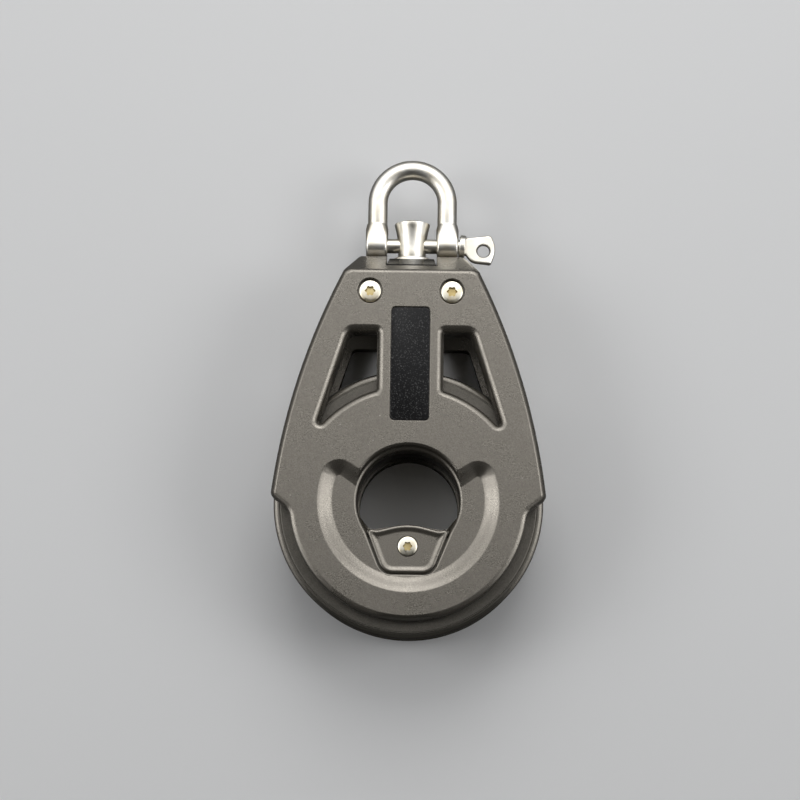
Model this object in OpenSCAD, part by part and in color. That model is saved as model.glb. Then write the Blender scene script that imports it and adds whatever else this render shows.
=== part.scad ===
// Single swivel block for a 12 mm rope: two moulded cheeks screwed together over a
// ball-bearing sheave, with a turned swivel post and a bow shackle at the head.
// The block lies on its back cheek. X runs across it, Y towards the shackle and Z up
// from the outer face of the back cheek. The origin is on the sheave's axis.

/* [Sheave] */
// Thickness of the block over both cheeks
block_t = 27; // [26:0.5:30]
// Diameter of the sheave over its flanges
sheave_d = 60; // [58:0.5:64]
// Width of the sheave over its flanges
sheave_w = 14.6; // [14:0.1:15.4]
// Largest rope that the groove takes
rope_d = 12; // [11:0.5:12.5]
// Diameter of the bottom of the rope groove
groove_d = 44; // [43:0.5:46]
// Clearance between a flange and its cheek
side_gap = 0.4; // [0.3:0.05:0.6]

/* [Bearing] */
// Diameter of the bearing balls
ball_d = 4; // [3.6:0.1:4]
// Balls in each of the two rows
ball_count = 24; // [12:1:24]
// Distance between the two rows of balls
row_pitch = 6.8; // [6.4:0.1:7.2]
// Clearance round the balls in their races
race_gap = 0.1; // [0.08:0.01:0.15]
// Bore of the hub ring
hub_bore_d = 23.6; // [23.2:0.1:23.8]
// Wall of the hub ring under its ball grooves
hub_wall = 2.2; // [2:0.1:2.4]
// Thickness of the rings that hold the balls in
cover_t = 1.3; // [1:0.1:1.4]

/* [Cheeks] */
// Width of the rounding on the outer edge of a cheek
edge_w = 1.5; // [0.8:0.1:1.6]
// Depth of that rounding
edge_h = 2.2; // [1:0.1:3]
// How far the cheeks stand out past the sheave at their widest
cheek_over = 0.4; // [0.2:0.1:1]
// Width of flange that shows below the cheeks
flange_show = 3.8; // [3:0.1:5]
// Rise of the bowed side edge over its chord
side_sag = 2.2; // [1.5:0.1:3]
// Diameter of the hole through the hub
hub_hole_d = 22.6; // [22:0.1:23]
// Diameter of the dished recess round the hub
dish_d = 41; // [39:0.2:42]
// Depth of the dished recess
dish_h = 1.6; // [1:0.1:2]
// Width of the recess's sloping wall
dish_w = 4.2; // [3:0.1:4.4]
// Rounding of the hub hole's mouth
lip_r = 0.8; // [0.4:0.1:1]
// Depth of the tray in the key's face
tray_h = 0.4; // [0.2:0.1:0.6]
// Clearance of the cheeks' spigots in the hub ring
spigot_gap = 0.05; // [0.03:0.01:0.1]

/* [Windows] */
// Width of the rib between the windows
rib_w = 11.2; // [10.4:0.2:14]
// Radius of the windows' lower edge about the hub
window_r = 24; // [23.4:0.2:25]
// Half width of a cheek inside its windows, at their top
window_x = 15; // [14.5:0.1:15.4]
// Width of the windows' rounded walls
window_w = 1.9; // [1.2:0.1:2]
// Width of the recess for the name panel
panel_w = 8.6; // [7:0.2:9]
// Length of that recess
panel_l = 25.4; // [20:0.2:26]
// Depth of that recess
panel_h = 0.5; // [0.4:0.1:0.8]
// Thickness of the name panel
panel_t = 0.3; // [0.2:0.05:0.35]

/* [Head] */
// Room for the rope between the sheave and the head
rope_room = 11; // [10.5:0.5:14]
// Height of the head from its underside to its end face
head_h = 16; // [15.5:0.5:18]
// Half width of the head at its end face
head_x = 12.2; // [12:0.1:12.8]
// Half width of the head at its shoulders
shoulder_x = 15.3; // [15.2:0.1:15.8]
// Width of the slot for the head block
slot_w = 11.4; // [11:0.1:12]
// Thickness of the head block
block_h = 18.4; // [17:0.2:19]
// Height from the head's underside to the foot of the head block
block_foot = 2; // [1.5:0.1:2.5]
// Clearance of the head block in its pocket
block_gap = 0.1; // [0.05:0.05:0.2]

/* [Screws] */
// Distance between the head screws
screw_pitch = 18.3; // [18:0.1:19]
// Distance of the head screws from the end face
screw_drop = 10.1; // [9.5:0.1:11]
// Head diameter of the head screws
screw_head_d = 5; // [4.6:0.1:5.2]
// Shank diameter of the head screws
screw_d = 2.9; // [2.5:0.1:3]
// Distance of the hub screw from the sheave's axis
key_screw_y = 9.9; // [9.6:0.1:9.9]
// Head diameter of the hub screw
key_head_d = 4.4; // [4:0.1:4.6]
// Shank diameter of the hub screw
key_screw_d = 2.5; // [2.2:0.1:2.5]

/* [Swivel] */
// Diameter of the post's shank in the head block
post_d = 5.8; // [5.4:0.1:6]
// Diameter of the post at its waist
waist_d = 6.4; // [6.2:0.1:6.8]
// Diameter of the post's flared head
flare_d = 8.2; // [7.6:0.1:9]
// Height of the shackle pin above the end face
pin_rise = 3.5; // [3.5:0.1:4.5]
// Height of the post's top above the shackle pin
post_top = 6.2; // [5.5:0.1:7]
// Running clearance of the post in the head block and its seat
post_gap = 0.08; // [0.05:0.01:0.1]
// Diameter of the swivel nut
nut_d = 8.6; // [8:0.1:9]
// Outer diameter of the turned seat round the post
cup_d = 8.8; // [8.4:0.1:9]
// Depth of the seat's pocket below the end face
cup_h = 2.4; // [2:0.1:3]
// Height of the seat's lip above the end face
cup_rise = 0.4; // [0.2:0.1:0.6]

/* [Shackle] */
// Diameter of the bow's rod
rod_d = 4.5; // [4:0.1:4.8]
// Inside width of the bow
bow_in = 11.6; // [11.4:0.1:12]
// Distance from the pin to the crown's outer side
bow_l = 20.5; // [19:0.5:24]
// Thickness of the bow's eyes
eye_t = 4.8; // [4.5:0.1:5]
// Outer diameter of the bow's eyes
eye_d = 6.2; // [6:0.1:6.4]
// Diameter of the shackle pin
pin_d = 3.3; // [3:0.1:3.4]
// Running clearance of the pin in the bow's eyes
pin_gap = 0.05; // [0.04:0.01:0.08]
// Diameter of the pin's collar
collar_d = 5.4; // [5:0.1:5.8]
// Length of the pin's flattened ear
ear_l = 7; // [6.4:0.1:8]
// Width of the ear at its outer end
ear_w = 6.8; // [6.4:0.1:7]
// Thickness of the ear
ear_t = 1.8; // [1.4:0.1:2]
// Lean of the forged collar and ear from square to the pin
ear_lean = 6; // [0:0.5:7]
// Diameter of the hole in the ear
ear_hole_d = 2.8; // [2.4:0.1:3]

/* [Hidden] */
$fn = 96;

BLACK = [0.16, 0.155, 0.15];
FLANGE = [0.12, 0.12, 0.12];
STEEL = [0.84, 0.83, 0.79];
WHITE = [0.9, 0.9, 0.87];

// Every cheek is drawn from the mid plane outwards, so its heights are counted from there
mid_z = block_t / 2;
face_z = block_t / 2;
inner_z = sheave_w / 2 + side_gap;
sheave_r = sheave_d / 2;
head_y = sheave_r + rope_room;
top_y = head_y + head_h;
screw_y = top_y - screw_drop;
past = 0.3;
over = 0.1;

// The outer corners of a cheek, right half, from the bottom up
lower_r = sheave_r - flange_show;
notch_a = -9;
notch_lean = 38;
side_foot = [sheave_r + cheek_over, 0.9];
side_head = [shoulder_x, top_y - 5.2];
side_mid = (side_foot + side_head) / 2;
side_half = norm(side_head - side_foot) / 2;
side_out = [side_head[1] - side_foot[1], side_foot[0] - side_head[0]] / (2 * side_half);
side_r = 0.94 * norm([side_half, 2 * side_sag]) * side_half / (2 * side_sag);
notch_run = (side_foot * turned(notch_a) - lower_r) / (turned(notch_lean) * turned(notch_a));
right_edge = [
    round_corner([lower_r * (1 + sin(notch_a)) / cos(notch_a), -lower_r], lower_r, 24, 1),
    round_corner(side_foot - notch_run * turned(notch_lean), 2.5, 5),
    round_corner(side_foot, 1.7, 6),
    round_corner(side_mid + 2 * side_sag * side_out, side_r, 14),
    round_corner(side_head, 4, 3),
    round_corner([head_x, top_y], 1.4, 5)];
cheek_edge = both_sides(right_edge);

// The corners of the right window's rim
window_top = head_y - 1.5;
window_lean = 17.7;
low_a = 42;
high_a = 76;
arc_mid = (low_a + high_a) / 2;
arc_reach = window_r / cos((high_a - low_a) / 2);
// Where the lower edge's tangent meets the slanted outer side
slant = [sin(window_lean), -cos(window_lean)];
low_end = window_r * turned(low_a);
low_dir = [sin(low_a), -cos(low_a)];
window_foot = low_end + low_dir * cross([window_x, window_top] - low_end, slant) / cross(low_dir, slant);
window_edge = [
    round_corner([rib_w / 2, (window_r - rib_w / 2 * cos(high_a)) / sin(high_a)], 2, 4),
    round_corner(arc_reach * turned(arc_mid), window_r, 10),
    round_corner(window_foot, 2.3, 8),
    round_corner([window_x, window_top], 3.5, 5),
    round_corner([rib_w / 2, window_top], 2.2, 4)];

// The dished recess: a disc without the part within dish_gate of the head. Its rim runs
// straight for the last dish_lead degrees, so that the sloping wall's foot has room there
dish_gate = 56;
dish_parts = 4;
dish_lead = asin((dish_w + 0.45) / (dish_d / 2 - dish_w));
dish_end_r = dish_w + 0.3;
dish_span = (360 - 2 * dish_gate - 2 * dish_lead) / dish_parts;
dish_edge = concat(
    [for (i = [0:dish_parts - 1])
        let (a = 90 + dish_gate + dish_lead + (i + 0.5) * dish_span)
        round_corner(dish_d / 2 / cos(dish_span / 2) * turned(a), dish_d / 2, 10, i > 0 ? 1 : 0)],
    [round_corner(dish_d / 2 / cos(dish_lead) * turned(90 - dish_gate), dish_end_r, 6),
     round_corner([0, 0], 3, 3),
     round_corner(dish_d / 2 / cos(dish_lead) * turned(90 + dish_gate), dish_end_r, 6)]);

// The hub key: a wavy top edge over a keystone
floor_z = face_z - dish_h;
spigot_r = hub_bore_d / 2 - spigot_gap;
spigot_z = inner_z - 1.2;
key_gap = 0.3;
leg_r = hub_bore_d / 2 - 0.1;
key_t = 2.2;
key_low = 15.8;
wave_right = [round_corner([12.4, -1.1], 0.2, 1), round_corner([8.2, -6.25], 2, 6)];
key_side = [round_corner([5.4, -key_low], 2.6, 6), round_corner([10.8, -2], 0.3, 1)];

// Bearing
pitch_r = hub_bore_d / 2 + hub_wall + race_gap + ball_d / 2;
groove_r = ball_d / 2 + race_gap;
race_r = pitch_r - 1.1;
tyre_r = pitch_r + 1.1;
cover_z = row_pitch / 2 + ball_d / 2 + 0.2;
cover_r = pitch_r + ball_d / 2 + race_gap + 1.35;
cover_in_r = race_r + 0.3;

// Head and swivel
slope_y = 5.3;
slope_z = 9;
brow_r = 1.3;
block_y = head_y + block_foot;
nut_y = block_y + 1.2;
nut_t = 3;
washer_t = 0.8;
steel_y = nut_y + nut_t;
thrust_y = steel_y + washer_t;
cavity_y = thrust_y + washer_t;
cup_y = top_y - cup_h;
pin_y = top_y + pin_rise;
counter_h = 1.4;
screw_hole_d = screw_d + 0.3;
nut_af = 5.5;
nut_h = 2.4;
key_nut_af = 5;
key_nut_h = 2;
hex_gap = 0.1;
thread_gap = 0.05;

// Shackle
rod_x = bow_in / 2 + rod_d / 2;
bend_y = pin_y + bow_l - rod_d / 2 - rod_x;
eye_x = bow_in / 2;
neck_y = pin_y + 5.5;
pin_end_x = -(eye_x + eye_t - 0.2);
collar_x = eye_x + eye_t + 0.05;
collar_t = 1.4;
collar_mid = collar_x + sin(ear_lean) * collar_d / 2 + cos(ear_lean) * collar_t / 2;

// Unit vector at an angle
function turned(a) = [cos(a), sin(a)];

// A corner of an outline: place, radius, steps of its arc and first step drawn
function round_corner(p, r, steps, first = 0) = [p, r, steps, first];

// The mirror image of an outline's right half, in running order
function mirrored(right) = [for (i = [len(right) - 1:-1:0]) let (c = right[i])
    round_corner([-c[0][0], c[0][1]], c[1], c[2])];

// The right half of an outline and its mirror image, counter-clockwise from the bottom
function both_sides(right) = concat(right, mirrored(right));

// Corner p of a counter-clockwise outline with neighbours q and s, moved inwards by d
function shifted(q, p, s, d) = let (a = (p - q) / norm(p - q), b = (s - p) / norm(s - p))
    p - d * ([a[1], -a[0]] + [b[1], -b[0]]) / (1 + a * b);

// Points of the arc of radius r that rounds corner p
function arc_points(q, p, s, r, steps, first) = let (
    a = (p - q) / norm(p - q), b = (s - p) / norm(s - p), turn = atan2(cross(a, b), a * b),
    side = sign(turn), start = p - a * r * tan(abs(turn) / 2),
    centre = start + side * r * [-a[1], a[0]], from = atan2(start[1] - centre[1], start[0] - centre[0]))
    [for (j = [first:steps]) centre + r * turned(from + turn * j / steps)];

// All points of an outline, inset by d: hollow corners grow as the others shrink
function outline(c, d = 0) = let (n = len(c),
    m = [for (i = [0:n - 1]) shifted(c[(i + n - 1) % n][0], c[i][0], c[(i + 1) % n][0], d)])
    [for (i = [0:n - 1]) let (q = m[(i + n - 1) % n], p = m[i], s = m[(i + 1) % n],
        r = cross(p - q, s - p) > 0 ? c[i][1] - d : c[i][1] + d)
        each arc_points(q, p, s, max(0.1, r), c[i][2], c[i][3])];

// A solid through rings of equal point counts, one above the other
module loft(rings, heights) {
    n = len(rings[0]);
    m = len(rings);
    points = [for (j = [0:m - 1]) for (p = rings[j]) [p[0], p[1], heights[j]]];
    walls = [for (j = [0:m - 2]) for (i = [0:n - 1])
        let (a = j * n + i, b = j * n + (i + 1) % n) each [[a, a + n, b + n], [a, b + n, b]]];
    polyhedron(points,
        concat([[for (i = [0:n - 1]) i]], [[for (i = [n - 1:-1:0]) (m - 1) * n + i]], walls));
}

// A cheek's outline as a solid, its outer edge rounded as a quarter of an ellipse. It and
// the cutters below run a little past the faces, which flat cuts make
module plate() {
    steps = [0:5];
    loft(concat([outline(cheek_edge)], [for (i = steps) outline(cheek_edge, edge_w * (1 - cos(18 * i)))]),
        concat([-past], [for (i = steps) face_z - edge_h * (1 - sin(18 * i)) + (i == 5 ? over : 0)]));
}

// Cutter for the right window: its wall rounds over into the face
module window_cut() {
    steps = [0:6];
    depth = face_z - inner_z;
    loft(concat([outline(window_edge, window_w)], [for (i = steps) outline(window_edge, window_w * cos(15 * i))]),
        concat([inner_z - past], [for (i = steps) inner_z + depth * sin(15 * i) + (i == 6 ? over : 0)]));
}

// Cutter for a shallow recess in the plane z = 0, with a soft S-shaped wall
module soft_cut(edge, width, depth, inset = 0) {
    steps = [0:7];
    intersection() {
        loft([for (i = steps) outline(edge, inset + width * (1 - i / 7))],
            [for (i = steps) (i == 0 ? -over : i == 7 ? over : 0) - depth * (1 + cos(i * 180 / 7)) / 2]);
        translate([-dish_d, -dish_d, -depth]) cube([2 * dish_d, 2 * dish_d, depth + 1]);
    }
}

// Everything below the key's wavy top edge
module below_wave() {
    polygon(outline(concat([round_corner([-12.4, -20], 0.2, 1), round_corner([12.4, -20], 0.2, 1)],
        wave_right, [round_corner([0, -4.9], 20, 6)], mirrored(wave_right))));
}

// The keystone's outline, grown by g
module keystone(g = 0) {
    polygon(outline(both_sides(key_side), -g));
}

// The end of the head in the plane of Y and Z: end face, slope and rounded brow
module head_profile(inset = 0, low = 0) {
    polygon(outline([round_corner([-sheave_d, low], 0.1, 1), round_corner([top_y - inset, low], 0.1, 1),
        round_corner([top_y - inset, face_z - slope_z], 1, 3),
        round_corner([top_y - inset - slope_y, face_z], brow_r, 5), round_corner([-sheave_d, face_z], 0.1, 1)]));
}

// Turns a profile in the plane of Y and Z into a bar along X
module along_x(length) {
    rotate([90, 0, 90]) translate([0, 0, -length / 2]) linear_extrude(length) children();
}

// A round bar along Y that starts at height y
module along_y(d, y, length) {
    translate([0, y, 0]) rotate([-90, 0, 0]) cylinder(d = d, h = length);
}

// A hexagon prism across flats af
module hexagon(af, h) {
    cylinder(d = af / cos(30), h = h, $fn = 6);
}

// What both cheeks share, drawn on the front side of the mid plane
module cheek_body() {
    difference() {
        intersection() {
            plate();
            along_x(2 * sheave_d) head_profile();
        }
        translate([-sheave_d, head_y - 2 * sheave_d, -1]) cube([2 * sheave_d, 2 * sheave_d, inner_z + 1]);
    }
    translate([0, 0, spigot_z]) cylinder(r = spigot_r, h = inner_z - spigot_z + 0.5);
}

module cheek_cuts() {
    for (side = [0, 1]) mirror([side, 0, 0]) window_cut();
    translate([0, 0, face_z]) soft_cut(dish_edge, dish_w, dish_h);
    translate([0, block_y - block_gap, -past])
        translate([-slot_w / 2, 0, 0]) cube([slot_w, head_h, block_h / 2 + block_gap + past]);
    for (x = [-1, 1]) translate([x * screw_pitch / 2, screw_y, -past])
        cylinder(d = screw_hole_d, h = face_z + 1);
}

// The hub hole: its mouth is rounded at the dish's floor, and again at the face
module hub_hole() {
    r = hub_hole_d / 2;
    f = floor_z;
    g = face_z;
    rotate_extrude() polygon([[0, spigot_z - 1], [r, spigot_z - 1], [r, f - lip_r], [r + lip_r * 0.12, f - lip_r * 0.56],
        [r + lip_r * 0.36, f - lip_r * 0.25], [r + lip_r * 0.68, f - lip_r * 0.08], [r + lip_r, f + 0.1],
        [r + lip_r + 0.08, g - 1], [r + lip_r + 0.15, g - 0.6], [r + lip_r + 0.3, g - 0.32],
        [r + lip_r + 0.6, g - 0.12], [r + lip_r + 1.3, g + past], [0, g + past]]);
}

module front_cheek() {
    color(BLACK) translate([0, 0, mid_z]) difference() {
        cheek_body();
        cheek_cuts();
        hub_hole();
        translate([0, 0, floor_z - key_t]) linear_extrude(key_t + past) keystone(key_gap);
        translate([0, 0, spigot_z - 1]) linear_extrude(face_z) intersection() {
            circle(d = hub_bore_d);
            keystone(key_gap);
        }
        for (x = [-1, 1]) translate([x * screw_pitch / 2, screw_y, face_z - counter_h])
            cylinder(d = screw_head_d + 0.7, h = counter_h + 1);
        translate([0, panel_y(), face_z - panel_h]) linear_extrude(panel_h + 1) panel_shape(0.1);
    }
}

module back_cheek() {
    color(BLACK) translate([0, 0, mid_z]) mirror([0, 0, 1]) difference() {
        cheek_body();
        cheek_cuts();
        difference() {
            hub_hole();
            translate([0, 0, spigot_z]) linear_extrude(floor_z - spigot_z) intersection() {
                circle(d = hub_hole_d + 4);
                below_wave();
            }
        }
        for (x = [-1, 1]) translate([x * screw_pitch / 2, screw_y, face_z - nut_h - 0.2])
            rotate(30) hexagon(nut_af + hex_gap, nut_h + 1);
        translate([0, -key_screw_y, floor_z - key_nut_h - 0.2]) rotate(30) hexagon(key_nut_af + hex_gap, 5);
        translate([0, -key_screw_y, 0]) cylinder(d = key_screw_d + 0.2, h = face_z);
    }
}

// Middle of the name panel, between the head and the windows' lower edge
function panel_y() = head_y - 10.5;

module panel_shape(grow = 0) {
    polygon(outline(both_sides([round_corner([panel_w / 2, -panel_l / 2], 0.9, 4),
        round_corner([panel_w / 2, panel_l / 2], 0.9, 4)]), -grow));
}

module name_panel() {
    color([0.07, 0.07, 0.07]) translate([0, panel_y(), block_t - panel_h])
        linear_extrude(panel_t) panel_shape();
}

// The rope wheel: groove outside, two ball races and the covers' seats inside
module sheave() {
    half = sheave_w / 2;
    rope_r = rope_d / 2 + 0.4;
    lip = 0.5;
    color(FLANGE) translate([0, 0, mid_z]) difference() {
        rotate_extrude($fn = 180) difference() {
            polygon([[tyre_r, -half], [sheave_r - lip, -half], [sheave_r, -half + lip],
                [sheave_r, half - lip], [sheave_r - lip, half], [tyre_r, half]]);
            translate([groove_d / 2 + rope_r, 0]) circle(r = rope_r);
            translate([groove_d / 2 + rope_r, -rope_r]) square([sheave_r, 2 * rope_r]);
            for (s = [-1, 1]) {
                translate([pitch_r, s * row_pitch / 2]) circle(r = groove_r);
                translate([0, s > 0 ? row_pitch / 2 : -half - 1])
                    square([pitch_r + groove_r, half + 1 - row_pitch / 2]);
                translate([0, s > 0 ? cover_z : -half - 1]) square([cover_r, half + 1 - cover_z]);
            }
        }
    }
}

// The fixed inner race, clamped between the cheeks
module hub_ring() {
    color(WHITE * 0.5) translate([0, 0, mid_z]) rotate_extrude() difference() {
        translate([hub_bore_d / 2, -inner_z]) square([race_r - hub_bore_d / 2, 2 * inner_z]);
        for (s = [-1, 1]) translate([pitch_r, s * row_pitch / 2]) circle(r = groove_r);
    }
}

module ball_row(z) {
    color(WHITE) for (i = [0:ball_count - 1]) rotate(i * 360 / ball_count)
        translate([pitch_r, 0, z]) sphere(d = ball_d, $fn = 24);
}

module front_balls() {
    ball_row(mid_z + row_pitch / 2);
}

module back_balls() {
    ball_row(mid_z - row_pitch / 2);
}

module ball_cover() {
    rotate_extrude() translate([cover_in_r, cover_z]) square([cover_r - cover_in_r - 0.05, cover_t]);
}

module front_ball_cover() {
    color(FLANGE) translate([0, 0, mid_z]) ball_cover();
}

module back_ball_cover() {
    color(FLANGE) translate([0, 0, mid_z]) mirror([0, 0, 1]) ball_cover();
}

module key_shape() {
    intersection() {
        keystone();
        below_wave();
    }
}

// The keystone on its leg, which fills the foot of the hub down to the back cheek
module hub_key() {
    color(BLACK) translate([0, 0, mid_z]) difference() {
        union() {
            translate([0, 0, floor_z - key_t]) linear_extrude(key_t) key_shape();
            translate([0, 0, spigot_z]) linear_extrude(floor_z - key_t - spigot_z) intersection() {
                circle(r = leg_r);
                key_shape();
            }
            translate([0, 0, -spigot_z]) linear_extrude(2 * spigot_z) intersection() {
                circle(r = leg_r);
                below_wave();
            }
        }
        translate([0, 0, floor_z]) soft_cut(both_sides(key_side), 1.2, tray_h, 0.2);
        translate([0, -key_screw_y, -face_z]) cylinder(d = key_screw_d + 0.2, h = 2 * face_z);
        translate([0, -key_screw_y, floor_z - 1.1]) cylinder(d = key_head_d + 0.4, h = 2);
    }
}

// A pan-head screw with its head's seat at z = 0 and its shank below
module pan_screw(head_d, head_t, shank_d, length) {
    translate([0, 0, -length]) cylinder(d = shank_d, h = length + head_t / 2);
    difference() {
        rotate_extrude() intersection() {
            translate([0, head_t - head_d]) circle(r = head_d, $fn = 180);
            square([head_d / 2, head_t]);
        }
        translate([0, 0, head_t * 0.4]) {
            cylinder(d = head_d * 0.36, h = head_t, $fn = 48);
            for (a = [0:60:300]) rotate(a) translate([head_d * 0.19, 0, 0])
                cylinder(d = head_d * 0.1, h = head_t, $fn = 48);
        }
    }
}

module hub_screw() {
    color(STEEL) translate([0, -key_screw_y, mid_z + floor_z - 1.1])
        pan_screw(key_head_d, 1.1, key_screw_d, 2 * floor_z - 1.3);
}

module head_screws() {
    color(STEEL) for (x = [-1, 1]) translate([x * screw_pitch / 2, screw_y, block_t - counter_h])
        pan_screw(screw_head_d, 1.3, screw_d, block_t - counter_h - 0.3);
}

module nut(af, h, bore) {
    difference() {
        rotate(30) hexagon(af, h);
        translate([0, 0, -1]) cylinder(d = bore, h = h + 2);
    }
}

module hub_nut() {
    color(STEEL) translate([0, -key_screw_y, dish_h + 0.2]) nut(key_nut_af, key_nut_h, key_screw_d + thread_gap * 2);
}

module head_nuts() {
    color(STEEL) for (x = [-1, 1]) translate([x * screw_pitch / 2, screw_y, 0.2])
        nut(nut_af, nut_h, screw_d + thread_gap * 2);
}

// The insert that carries the swivel, caught in the cheeks' pockets
module head_block() {
    w = slot_w - 2 * block_gap;
    color([0.1, 0.1, 0.1]) translate([0, 0, mid_z]) difference() {
        intersection() {
            translate([-w / 2, block_y, -block_h / 2]) cube([w, head_h, block_h]);
            union() for (s = [0, 1]) mirror([0, 0, s]) along_x(w + 2) head_profile(0.5, -1);
            linear_extrude(block_h, center = true) polygon(outline(both_sides([
                round_corner([w / 2, block_y - 1], 0.1, 1), round_corner([w / 2, top_y - 3.6], 0.5, 2),
                round_corner([w / 2 - 0.8, top_y + 1], 0.1, 1)])));
        }
        along_y(post_d + 2 * post_gap, block_y - 1, head_h + 2);
        along_y(nut_d + 0.6, block_y - 1, cavity_y - block_y + 1);
        along_y(cup_d + 0.1, cup_y, 10);
    }
}

// Turns a profile of radius and height about the swivel's axis
module turned_on_y() {
    translate([0, 0, mid_z]) rotate([-90, 0, 0]) rotate_extrude() children();
}

module swivel_cup() {
    inner = post_d / 2 + post_gap;
    color(STEEL) turned_on_y() polygon([[inner, cup_y], [cup_d / 2, cup_y], [cup_d / 2, top_y + cup_rise - 0.3],
        [cup_d / 2 - 0.3, top_y + cup_rise], [cup_d / 2 - 0.5, top_y + cup_rise], [inner + 0.5, top_y - 0.7],
        [inner, top_y - 0.9]]);
}

// The post: threaded foot, shank, waist, flared head and domed top
module swivel_post() {
    r = post_d / 2;
    flare_y = pin_y + post_top - 1.3;
    color(STEEL) difference() {
        turned_on_y() polygon(concat(
            [[0, nut_y - 0.6], [r - 0.7, nut_y - 0.6], [r - 0.5, nut_y - 0.4], [r - 0.5, thrust_y],
             [r, thrust_y + 0.1], [r, top_y - 0.5], [waist_d / 2, top_y + 0.3]],
            [for (i = [0:6]) let (t = i / 6)
                [waist_d / 2 + (flare_d - waist_d) / 2 * t * t, top_y + 2 + (flare_y - top_y - 2) * t]],
            [for (i = [1:6]) let (a = 15 * i) [(flare_d / 2 - 0.1) * cos(a), flare_y + 0.1 + 1.2 * sin(a)]]));
        translate([0, pin_y, mid_z]) rotate([0, 90, 0]) cylinder(d = pin_d + 0.3, h = 20, center = true);
        translate([0, nut_y + nut_t / 2, mid_z]) rotate([0, 90, 0]) cylinder(d = 1.5, h = 20, center = true);
    }
}

module ring_on_y(outer_d, inner_d, y, h) {
    turned_on_y() translate([inner_d / 2, y]) square([(outer_d - inner_d) / 2, h]);
}

module thrust_washer() {
    color(WHITE) ring_on_y(nut_d, post_d + 0.2, thrust_y, washer_t);
}

module steel_washer() {
    color(STEEL) ring_on_y(nut_d, post_d - 1 + 0.1, steel_y, washer_t);
}

module swivel_nut() {
    color(STEEL) difference() {
        ring_on_y(nut_d, post_d - 1 + 0.1, nut_y, nut_t);
        translate([0, nut_y + nut_t / 2, mid_z]) rotate([0, 90, 0]) cylinder(d = 1.5, h = 20, center = true);
    }
}

module nut_pin() {
    color(STEEL) translate([0, nut_y + nut_t / 2, mid_z]) rotate([0, 90, 0])
        cylinder(d = 1.45, h = nut_d - 0.6, center = true);
}

// One leg of the bow: forged eye, neck and straight rod
module bow_leg() {
    hull() {
        translate([eye_x, pin_y, 0]) rotate([0, 90, 0]) cylinder(d = eye_d, h = eye_t, $fn = 32);
        translate([rod_x, neck_y, 0]) rotate([-90, 0, 0]) cylinder(d = rod_d, h = 0.1, $fn = 32);
    }
    translate([rod_x, neck_y + 0.1, 0]) rotate([-90, 0, 0]) cylinder(d = rod_d, h = bend_y - neck_y - 0.1);
}

module shackle_bow() {
    color(STEEL) translate([0, 0, mid_z]) difference() {
        union() {
            for (side = [0, 1]) mirror([side, 0, 0]) bow_leg();
            translate([0, bend_y, 0]) rotate_extrude(angle = 180) translate([rod_x, 0]) circle(d = rod_d);
        }
        translate([0, pin_y, 0]) rotate([0, 90, 0])
            cylinder(d = pin_d + 2 * pin_gap, h = 2 * (rod_x + 5), center = true);
    }
}

// The screw pin: round body, collar and flattened ear
module shackle_pin() {
    color(STEEL) translate([0, pin_y, mid_z]) {
        translate([pin_end_x, 0, 0]) rotate([0, 90, 0]) cylinder(d = pin_d, h = collar_mid - pin_end_x);
        translate([collar_mid, 0, 0]) rotate([0, 0, -ear_lean]) {
            rotate([0, 90, 0]) cylinder(d = collar_d, h = collar_t, center = true);
            translate([collar_t / 2, 0, 0]) linear_extrude(ear_t, center = true) difference() {
                ear_shape();
                translate([ear_l * 0.61, -0.5]) circle(d = ear_hole_d);
            }
        }
    }
}

// The ear's lopsided fan, from its neck in the collar outwards
module ear_shape() {
    half = ear_w / 2;
    polygon(outline([round_corner([-0.4, -1.9], 0.1, 1), round_corner([0.3, -1.9], 0.4, 2),
        round_corner([1.8, -half - 0.1], 1.6, 5), round_corner([ear_l - 0.7, -half - 0.1], 0.4, 3),
        round_corner([ear_l + 0.3, 0.2], 5, 6), round_corner([ear_l - 1.4, half], 0.9, 4),
        round_corner([-0.4, 2], 0.1, 1)]));
}

back_cheek();
front_cheek();
sheave();
hub_ring();
front_balls();
back_balls();
front_ball_cover();
back_ball_cover();
hub_key();
hub_screw();
hub_nut();
head_screws();
head_nuts();
name_panel();
head_block();
swivel_cup();
swivel_post();
thrust_washer();
steel_washer();
swivel_nut();
nut_pin();
shackle_bow();
shackle_pin();
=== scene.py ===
# Single swivel block with a bow shackle, dressed piece by piece in the order it is put
# together. Pieces are worked in millimetres, on the CAD's own axes, and handed over in metres.
from math import cos, pi, radians, sin, tau

import bmesh
import bpy
from mathutils import Matrix, Vector


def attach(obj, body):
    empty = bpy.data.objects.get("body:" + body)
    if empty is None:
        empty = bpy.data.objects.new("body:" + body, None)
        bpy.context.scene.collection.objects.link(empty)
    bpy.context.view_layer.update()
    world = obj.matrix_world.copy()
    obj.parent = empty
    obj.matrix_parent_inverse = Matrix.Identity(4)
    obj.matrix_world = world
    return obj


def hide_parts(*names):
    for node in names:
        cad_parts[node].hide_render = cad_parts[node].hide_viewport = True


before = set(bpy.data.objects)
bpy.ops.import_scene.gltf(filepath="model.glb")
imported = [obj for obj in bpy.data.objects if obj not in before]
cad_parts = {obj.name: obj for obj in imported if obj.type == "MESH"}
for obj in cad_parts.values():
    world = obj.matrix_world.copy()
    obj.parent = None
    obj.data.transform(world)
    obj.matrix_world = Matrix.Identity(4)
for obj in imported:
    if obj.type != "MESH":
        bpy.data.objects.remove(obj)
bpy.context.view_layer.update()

# Studio
# A pale table under three soft lamps and a banded sky. The camera stands where the
# photograph was taken, almost straight above the block.
scene = bpy.context.scene
scene.view_settings.view_transform = "Standard"

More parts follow.
